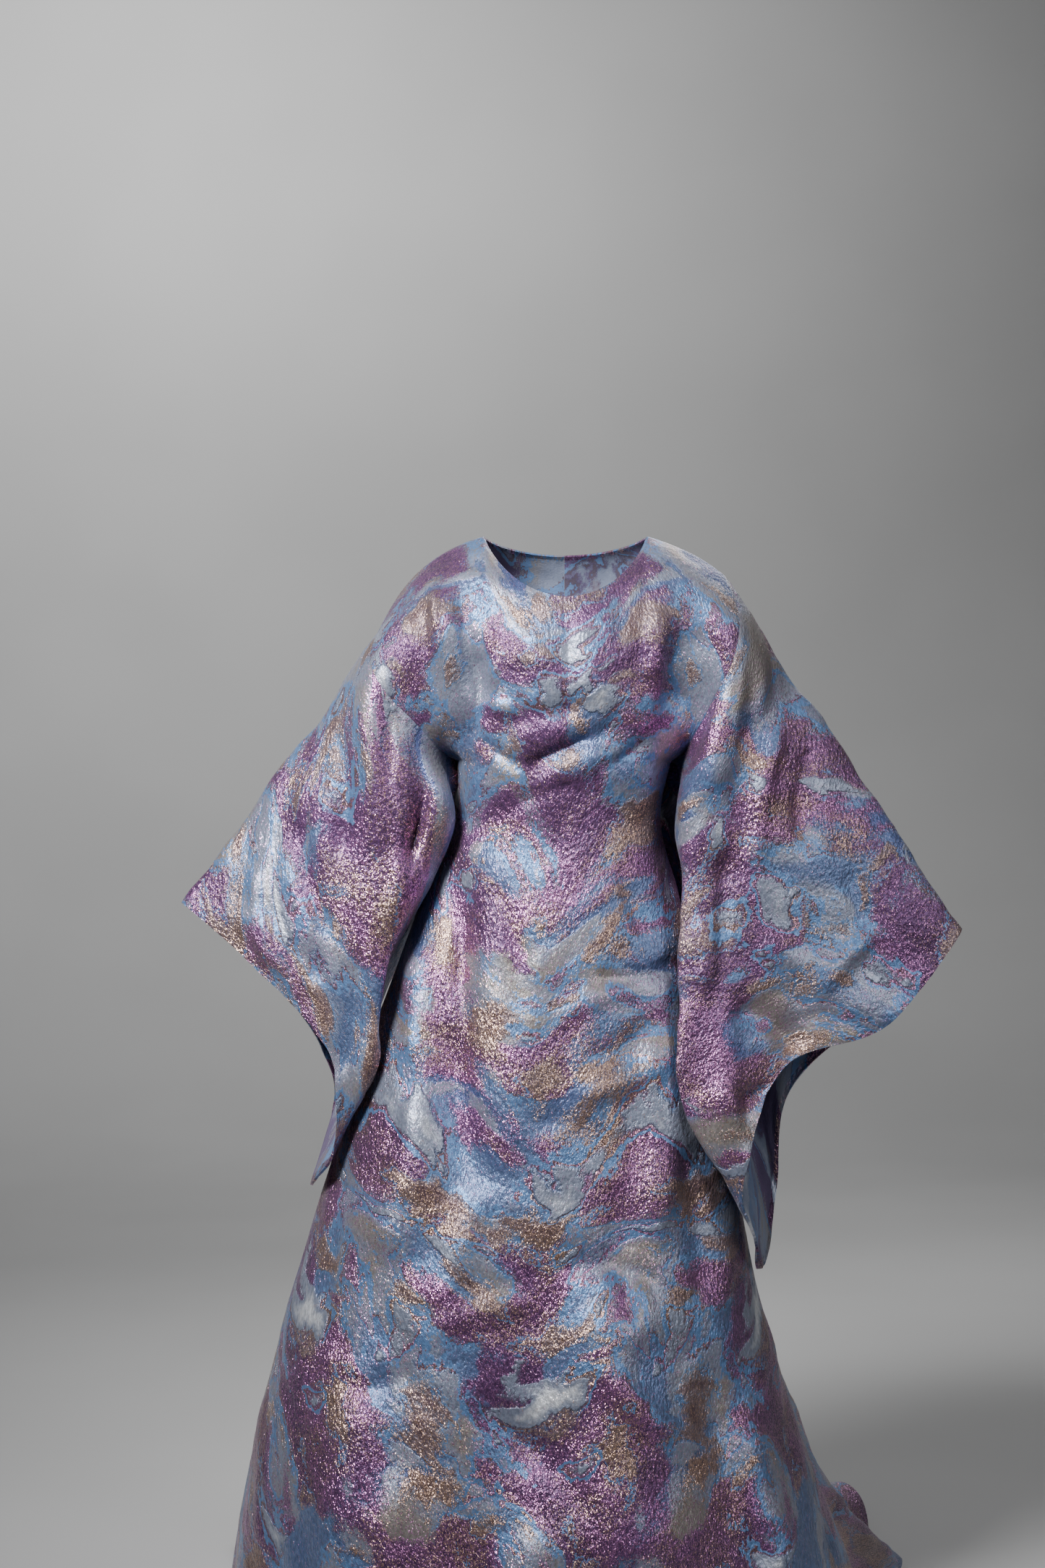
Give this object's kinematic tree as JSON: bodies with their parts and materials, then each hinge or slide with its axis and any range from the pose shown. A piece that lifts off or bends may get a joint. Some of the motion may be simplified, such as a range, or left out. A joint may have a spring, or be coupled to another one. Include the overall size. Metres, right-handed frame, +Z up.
{
  "type": "kaftan",
  "caption": "Floor-length pull-on kaftan in worn form: round neck, wide butterfly sleeves hanging to the thigh, plain front, and a back that spreads into a short train.",
  "frame": {"origin": "midway between the wearer's shoulders, at the height of the neck opening's sides", "axes": "+Z up, +X towards the wearer's left, -Y towards the front"},
  "size_m": [1.0017, 1.173, 1.4691],
  "materials": {
    "brocade": "crinkled metallic brocade, soft satin ground with glittering foil yarn, in blue, plum, champagne and silver",
    "brocade_wrong_side": "wrong side of the brocade, dull, with the colours softened",
    "sewing_thread": "dull blue-grey polyester thread"
  },
  "bodies": {
    "root": {"front_panel": "brocade", "back_left_panel": "brocade", "back_right_panel": "brocade", "left_sleeve": "brocade", "right_sleeve": "brocade"}
  },
  "joints": []
}
